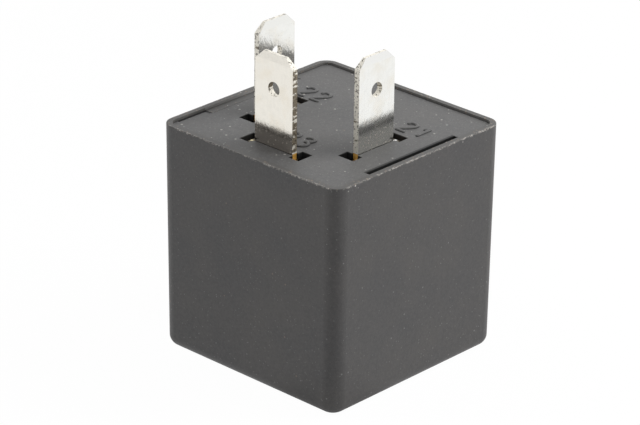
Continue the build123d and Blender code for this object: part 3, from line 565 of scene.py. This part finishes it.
def tinned_brass(name, face_axis, middle, tin, film, bevel, torn_share, crown, haze, shoulder):
    """Tin on the faces square to face_axis, and sheared metal on the narrow edges, of which
    torn_share is bare and brown and the rest smeared with tin. The film's colour covers the
    lowest 2 mm, bevel is the colour of the tip's slopes, crown the faces' tilt in degrees, haze
    the roughness added low down, and shoulder the painted highlight on the tops inside the
    slots, near the strip's middle, beside which those tops are painted shade."""
    finish = Finish(name, tin, 0.12, metallic=1.0)
    lines = finish.noise(3.5, 3.0, across=(2.0, 2.0, 0.10))
    blotch = finish.noise(0.45, 4.0)
    grime = finish.noise(1.4, 5.0)
    pits = finish.specks(2.6, 0.06, 0.35)
    dull = tuple(0.90 * part for part in tin)
    warm = (0.93 * tin[0], 0.88 * tin[1], 0.80 * tin[2])
    face = finish.mix(finish.math("MULTIPLY", finish.span(blotch, 0.45, 0.7), 0.6), tin, warm)
    face = finish.mix(finish.math("MULTIPLY", finish.span(grime, 0.5, 0.75), 0.5), face, dull)
    face = finish.mix(finish.math("MULTIPLY", finish.span(lines, 0.5, 0.8), 0.4), face, dull)
    face = finish.mix(finish.math("MULTIPLY", pits, 0.5), face, pit_brown)
    face = finish.mix(finish.span(finish.facing[2], 0.08, 0.14), face, bevel)
    film_edge = finish.math("MULTIPLY_ADD", finish.math("ADD", grime, lines), -1.6, finish.z)
    face = finish.mix(finish.span(film_edge, plate_top + 1.2, plate_top + 0.2), face, film)
    # Tears run across the thickness, three to the millimetre, with crumbs of dirt
    tears = finish.noise(1.0, 3.0, across=(0.8, 0.8, 3.2))
    crumbs = finish.noise(4.0, 3.0)
    bare = finish.span(tears, 0.66 - 0.4 * torn_share, 0.72 - 0.4 * torn_share)
    cut_corner = finish.span(finish.facing[2], 0.5, 0.2)
    edge = finish.mix(finish.math("MULTIPLY", bare, cut_corner), edge_cream, edge_brown)
    dark_crumbs = finish.math("MULTIPLY", finish.span(crumbs, 0.56, 0.62), 0.75)
    edge = finish.mix(dark_crumbs, edge, edge_dark)
    edge = finish.mix(finish.span(finish.z, plate_top + 0.28, plate_top + 0.18), edge, tin)
    edge = finish.mix(finish.span(finish.z, plate_top + 0.08, plate_top + 0.0), edge, bare_brass)
    square = finish.math("ABSOLUTE", finish.facing[face_axis])
    # Painted highlight and shade: the tops inside the slots get the shoulder colour as a painted
    # glint near the strip's middle, and painted shade beside it
    level_top = finish.math(
        "MULTIPLY", finish.span(finish.facing[2], 0.55, 0.75),
        finish.math("LESS_THAN", finish.z, plate_top),
    )
    sheared = finish.math("SUBTRACT", finish.span(square, 0.75, 0.6), level_top, clamp=True)
    flat = finish.math("SUBTRACT", 1.0, sheared)
    across_strip = (finish.x, finish.y)[face_axis]
    off_middle = finish.math("ABSOLUTE", finish.math("SUBTRACT", across_strip, middle))
    shoulder_light_and_shade = finish.mix(finish.span(off_middle, 0.12, 0.24), shoulder, shoulder_shade)
    low_down = finish.span(finish.z, plate_top + 4.5, plate_top + 1.5)
    dusty = finish.math(
        "MULTIPLY", finish.specks(3.2, 0.11, 0.6),
        finish.span(finish.z, plate_top + 3.0, plate_top + 2.0),
    )
    face = finish.mix(finish.math("MULTIPLY", dusty, 0.7), face, blade_dust)
    finish.colour(finish.mix(level_top, finish.mix(sheared, face, edge), shoulder_light_and_shade))
    dull_parts = finish.math("MAXIMUM", finish.math("MULTIPLY", dusty, 0.7), sheared)
    metal_share = finish.math("MULTIPLY_ADD", dull_parts, -0.75, 1.0)
    finish.feed(metal_share, finish.shader.inputs["Metallic"])
    smooth = finish.math("MULTIPLY_ADD", finish.span(blotch, 0.3, 0.7), 0.05, 0.09)
    hazy = finish.math("MULTIPLY_ADD", low_down, haze, smooth)
    finish.roughness(finish.math("ADD", hazy, finish.math("MULTIPLY", sheared, 0.25)))
    ripple = finish.math("MULTIPLY", finish.noise(2.2, 3.0, across=(1.6, 1.6, 0.7)), 0.12)
    fine = finish.math("ADD", finish.math("MULTIPLY", lines, 0.05), ripple)
    fine = finish.math("MULTIPLY_ADD", finish.z, -math.tan(math.radians(crown)) / torn_depth, fine)
    torn = finish.math("MULTIPLY", finish.math("ADD", tears, crumbs), 0.8)
    height = finish.math(
        "ADD", finish.math("MULTIPLY", fine, flat), finish.math("MULTIPLY", torn, sheared)
    )
    finish.bump(height, torn_depth)
    return finish


dress(
    tinned_brass(
        "tinned_brass_front", face_axis=1, middle=-9.9, tin=warm_tin, film=(0.74, 0.68, 0.61),
        bevel=(0.80, 0.77, 0.70), torn_share=0.6, crown=1.8, haze=0.04, shoulder=(0.70, 0.60, 0.36),
    ),
    "output_terminal",
)
dress(
    tinned_brass(
        "tinned_brass_left", face_axis=0, middle=-8.4, tin=bright_tin, film=(0.70, 0.68, 0.62),
        bevel=(0.86, 0.86, 0.83), torn_share=0.1, crown=1.6, haze=0.04, shoulder=shoulder_shade,
    ),
    "supply_terminal",
)
dress(
    tinned_brass(
        "tinned_brass_right", face_axis=0, middle=8.4, tin=bright_tin, film=(0.84, 0.83, 0.78),
        bevel=(0.87, 0.87, 0.85), torn_share=0.15, crown=0.8, haze=0.12, shoulder=bright_tin,
    ),
    "ground_terminal",
)


# Yoke, armature and core
# Yoke and armature are stamped from soft steel and plated, the core is turned from soft iron
# with a nickel flash. Stamping leaves fine lines, turning leaves rings round the core.
def plated_metal(name, colour, roughness, lines, depth=0.01):
    """Plated metal with fine lines in one direction, soft blotches and a few dull spots."""
    finish = Finish(name, colour, roughness, metallic=1.0)
    streak = finish.noise(2.4, 3.0, across=lines)
    blotch = finish.span(finish.noise(0.5, 3.0), 0.35, 0.7)
    dull = tuple(0.72 * part for part in colour)
    finish.colour(finish.mix(finish.math("MULTIPLY", blotch, 0.6), colour, dull))
    finish.roughness(finish.math("MULTIPLY_ADD", streak, 0.2, roughness - 0.08))
    finish.bump(streak, depth)
    return finish


dress(plated_metal("zinc_plate", (0.62, 0.63, 0.60), 0.34, (0.2, 2.5, 2.5)), "yoke")
dress(plated_metal("soft_iron", (0.50, 0.49, 0.47), 0.36, (0.3, 3.0, 3.0)), "armature")
dress(plated_metal("turned_iron", (0.56, 0.55, 0.52), 0.30, (0.3, 0.3, 5.0)), "core")
dress(
    plated_metal("steel_rivet", (0.60, 0.59, 0.56), 0.38, (2.0, 2.0, 2.0)),
    "armature_rivets", "yoke_rivets",
)


# Bobbin
# Moulded from glass-filled nylon, off-white, with the pins pressed in while it is warm.
# The glass shows as short pale fibres and the surface is slightly wavy.
nylon_white, fibre_white = (0.52, 0.49, 0.42), (0.70, 0.67, 0.60)
bobbin_finish = Finish("bobbin_nylon", nylon_white, 0.45)
fibres = bobbin_finish.noise(3.0, 2.0, across=(0.6, 3.0, 1.0))
bobbin_finish.colour(
    bobbin_finish.mix(bobbin_finish.span(fibres, 0.5, 0.68), nylon_white, fibre_white)
)
bobbin_finish.roughness(bobbin_finish.math("MULTIPLY_ADD", fibres, 0.2, 0.36))
bobbin_finish.bump(bobbin_finish.noise(1.2, 3.0), 0.02)
dress(bobbin_finish, "bobbin")


# Coil winding
# Enamelled copper wire, 0.2 mm, wound in close turns on the bobbin. The outer layer shows
# each turn, climbing by one wire for each time round.
winding_low, winding_high = (np.array(corner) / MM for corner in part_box("coil_winding"))
wire_pitch, tube_radius = 0.2, 2.75


def wound_turns(low, high, inner, pitch, around=72, per_turn=6):
    """A closed ring of turns, as vertices and faces. Over height z and angle a its outer
    radius is the winding's radius, less half a wire times 1 - |sin(pi (z/pitch + a/2pi))|."""
    centre, outer = (low + high) / 2, (high[0] - low[0]) / 2
    count = int((high[2] - low[2]) / pitch) * per_turn
    heights = np.linspace(low[2], high[2], count)[:, None]
    angles = np.linspace(0, 2 * np.pi, around, endpoint=False)[None, :]
    dip = 1 - np.abs(np.sin(np.pi * (heights / pitch + angles / (2 * np.pi))))
    radius = outer - pitch / 2 * dip
    radius = np.vstack([np.full((1, around), inner), radius, np.full((1, around), inner)])
    heights = np.vstack([heights[:1], heights, heights[-1:]]) + np.zeros((1, around))
    ring = np.stack(
        [centre[0] + radius * np.cos(angles), centre[1] + radius * np.sin(angles), heights], 2
    )
    row, column = np.meshgrid(np.arange(len(ring)), np.arange(around), indexing="ij")
    above, beside = (row + 1) % len(ring), (column + 1) % around
    faces = np.stack(
        [row * around + column, row * around + beside, above * around + beside,
         above * around + column], 2
    )
    return ring.reshape(-1, 3), faces.reshape(-1, 4).tolist()


copper_light, copper_dark = (0.66, 0.22, 0.08), (0.40, 0.11, 0.04)
enamel = Finish("enamelled_copper", copper_light, 0.24, metallic=0.85)
enamel.shader.inputs["Coat Weight"].default_value = 0.6
enamel.shader.inputs["Coat Roughness"].default_value = 0.1
tint = enamel.noise(1.2, 3.0, across=(1, 1, 4.0))
enamel.colour(enamel.mix(enamel.span(tint, 0.35, 0.7), copper_light, copper_dark))
enamel.roughness(enamel.math("MULTIPLY_ADD", tint, 0.15, 0.16))
turns = new_piece(
    "coil_turns", *wound_turns(winding_low, winding_high, tube_radius, wire_pitch), enamel
)
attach(turns, "housing")
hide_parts("coil_winding")
dress(enamel, "coil_leads")


# Leaf spring
# Rolled phosphor bronze strip with fine lines along it, folded round the hinge. One end is
# riveted to the yoke and stays there, the other swings with the armature. The strip is cut
# across between the two heights below, in millimetres, where the fold bends in use.
yoke_end_height, swinging_height, cut_spacing = 10.4, 5.6, 0.4
bronze = plated_metal("spring_bronze", (0.68, 0.42, 0.23), 0.28, (3.0, 0.25, 0.25), 0.006)
strip = bmesh.new()
strip.from_mesh(nodes["leaf_spring"].data)
bmesh.ops.remove_doubles(strip, verts=strip.verts, dist=0.001 * MM)
for height in np.arange(swinging_height, yoke_end_height, cut_spacing):
    bmesh.ops.bisect_plane(
        strip, geom=[*strip.verts, *strip.edges, *strip.faces], plane_co=(0, 0, height * MM),
        plane_no=(0, 0, 1),
    )
strip.verts.index_update()
spring = new_piece(
    "bending_spring", [corner.co / MM for corner in strip.verts],
    [[corner.index for corner in face.verts] for face in strip.faces], bronze,
)
strip.free()
spring.data.set_sharp_from_angle(angle=math.radians(30))
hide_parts("leaf_spring")
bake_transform(spring)


# Contacts
# Silver-faced rivets. The crown is polished by the arc of each make and break, with a grey
# ring of fine spatter round it.
silver_bright, silver_burnt = (0.82, 0.81, 0.78), (0.42, 0.41, 0.40)
silver = Finish("contact_silver", silver_bright, 0.25, metallic=1.0)
spatter = silver.noise(6.0, 3.0)
silver.colour(silver.mix(silver.span(spatter, 0.5, 0.7), silver_bright, silver_burnt))
silver.roughness(silver.math("MULTIPLY_ADD", spatter, 0.3, 0.12))
silver.bump(spatter, 0.01)
dress(silver, "moving_contact", "fixed_contact")


# Shunt
# A strip of resistance alloy, grey-brown, welded between the supply terminal and the yoke.
# The weld heat leaves a straw tint that fades along the strip; the finish here is only blotched,
# with fine lines.
dress(plated_metal("shunt_alloy", (0.50, 0.42, 0.34), 0.38, (0.25, 3.0, 0.25)), "shunt")


# Circuit board
# Glass-cloth laminate with a green mask. The cloth's weave shows through as a fine grid,
# and the mask is glossier over the copper than beside it.
board_green, board_pale = (0.020, 0.115, 0.050), (0.045, 0.190, 0.080)
board_finish = Finish("board_laminate", board_green, 0.32)
weave = board_finish.math(
    "MULTIPLY",
    board_finish.math("SINE", board_finish.math("MULTIPLY", board_finish.x, 9.0)),
    board_finish.math("SINE", board_finish.math("MULTIPLY", board_finish.z, 9.0)),
)
copper_below = board_finish.span(board_finish.noise(0.45, 1.0), 0.49, 0.51)
board_finish.colour(board_finish.mix(copper_below, board_green, board_pale))
board_finish.roughness(board_finish.math("MULTIPLY_ADD", copper_below, -0.1, 0.38))
board_finish.bump(
    board_finish.math("ADD", board_finish.math("MULTIPLY", weave, 0.3), copper_below), 0.02
)
dress(board_finish, "circuit_board")


# Solder joints and wires
# Tin alloy that has wetted the pads, bright with a grainy skin. The wires and the chip's
# leads are tinned too and were bent by a former, which left faint marks.
solder = Finish("solder", (0.70, 0.70, 0.69), 0.26, metallic=1.0)
skin = solder.noise(4.0, 3.0)
solder.roughness(solder.math("MULTIPLY_ADD", skin, 0.28, 0.14))
solder.bump(skin, 0.03)
dress(solder, "solder_joints")
wire_tin = plated_metal("tinned_wire", (0.74, 0.73, 0.71), 0.26, (1.5, 1.5, 1.5), 0.008)
dress(
    wire_tin, "resistor_leads", "diode_leads", "capacitor_leads", "timer_chip_leads", "coil_pins"
)


# Timer chip
# Black epoxy moulded round the lead frame, matt with a sanded grain, and a smooth notch at
# its first pin. Nothing is printed on it.
epoxy_black, epoxy_rubbed = (0.026, 0.026, 0.028), (0.050, 0.050, 0.052)
epoxy = Finish("chip_epoxy", epoxy_black, 0.55)
sanded = epoxy.noise(7.0, 2.0)
epoxy.colour(epoxy.mix(epoxy.span(sanded, 0.4, 0.7), epoxy_black, epoxy_rubbed))
epoxy.roughness(epoxy.math("MULTIPLY_ADD", sanded, 0.25, 0.42))
epoxy.bump(sanded, 0.02)
dress(epoxy, "timer_chip")


# Resistors
# Ceramic rods dipped in tan lacquer, with four painted value bands each, given here in
# millimetres from the middle of the body, and an end cap's shoulder under the lacquer.
band_width = 0.42
band_places = (-2.15, -0.85, -0.1, 1.75)
band_brown, band_black, band_gold = (0.30, 0.08, 0.02), (0.01, 0.01, 0.01), (0.55, 0.38, 0.10)
band_colours = {
    "supply_resistor": (band_brown, band_black, band_brown, band_gold),
    "timing_resistor": ((0.70, 0.50, 0.02), (0.25, 0.05, 0.35), (0.70, 0.20, 0.02), band_gold),
    "drive_resistor": ((0.25, 0.06, 0.02), band_black, (0.60, 0.02, 0.02), band_gold),
}
lacquer_tan, lacquer_pale = (0.55, 0.40, 0.24), (0.62, 0.47, 0.30)
for name, colours in band_colours.items():
    lacquer = Finish(f"lacquer_{name}", lacquer_tan, 0.3)
    wavy = lacquer.noise(1.5, 2.0)
    tone = lacquer.mix(lacquer.span(wavy, 0.3, 0.7), lacquer_tan, lacquer_pale)
    for place, colour in zip(band_places, colours):
        wobble = lacquer.math("MULTIPLY_ADD", wavy, 0.12, place - 0.06)
        away = lacquer.math("ABSOLUTE", lacquer.math("SUBTRACT", lacquer.x, wobble))
        tone = lacquer.mix(lacquer.math("LESS_THAN", away, band_width / 2), tone, colour)
    lacquer.colour(tone)
    lacquer.roughness(lacquer.math("MULTIPLY_ADD", wavy, 0.15, 0.22))
    lacquer.bump(wavy, 0.03)
    dress(lacquer, name)


# Clamp diode
# A black epoxy barrel with a silver-grey band painted round its cathode end. It stands
# beside the coil's wires and takes up the coil's kick when the current stops.
barrel_black, ring_grey = (0.028, 0.028, 0.030), (0.48, 0.48, 0.49)
ring_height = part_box("clamp_diode")[1][2] / MM - 1.0
barrel = Finish("diode_epoxy", barrel_black, 0.42)
from_ring = barrel.math("ABSOLUTE", barrel.math("SUBTRACT", barrel.z, ring_height))
ring = barrel.math("LESS_THAN", from_ring, 0.4)
cloudy = barrel.noise(3.0, 3.0)
barrel.colour(barrel.mix(ring, barrel_black, ring_grey))
barrel.roughness(barrel.math("MULTIPLY_ADD", cloudy, 0.3, 0.28))
barrel.bump(cloudy, 0.015)
dress(barrel, "clamp_diode")


# Timing capacitor
# An aluminium can in a dark blue shrink sleeve with one pale stripe down the side of its
# negative wire. The can's end shows bare metal inside the sleeve's rolled edge.
can_low, can_high = (np.array(corner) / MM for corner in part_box("timing_capacitor"))
can_middle = (can_low + can_high) / 2
sleeve_blue, stripe_pale, can_grey = (0.015, 0.022, 0.075), (0.45, 0.46, 0.50), (0.62, 0.62, 0.61)
sleeve = Finish("can_sleeve", sleeve_blue, 0.3)
from_stripe = sleeve.math("ABSOLUTE", sleeve.math("SUBTRACT", sleeve.y, float(can_middle[1])))
stripe = sleeve.math(
    "MULTIPLY", sleeve.math("LESS_THAN", from_stripe, 0.55),
    sleeve.math("LESS_THAN", sleeve.x, float(can_middle[0])),
)
bare_end = sleeve.math("GREATER_THAN", sleeve.facing[2], 0.9)
shrunk = sleeve.noise(1.0, 3.0, across=(1.0, 1.0, 0.4))
sleeve.colour(sleeve.mix(bare_end, sleeve.mix(stripe, sleeve_blue, stripe_pale), can_grey))
sleeve.feed(bare_end, sleeve.shader.inputs["Metallic"])
sleeve.roughness(sleeve.math("MULTIPLY_ADD", shrunk, 0.2, 0.22))
sleeve.bump(shrunk, 0.03)
dress(sleeve, "timing_capacitor")
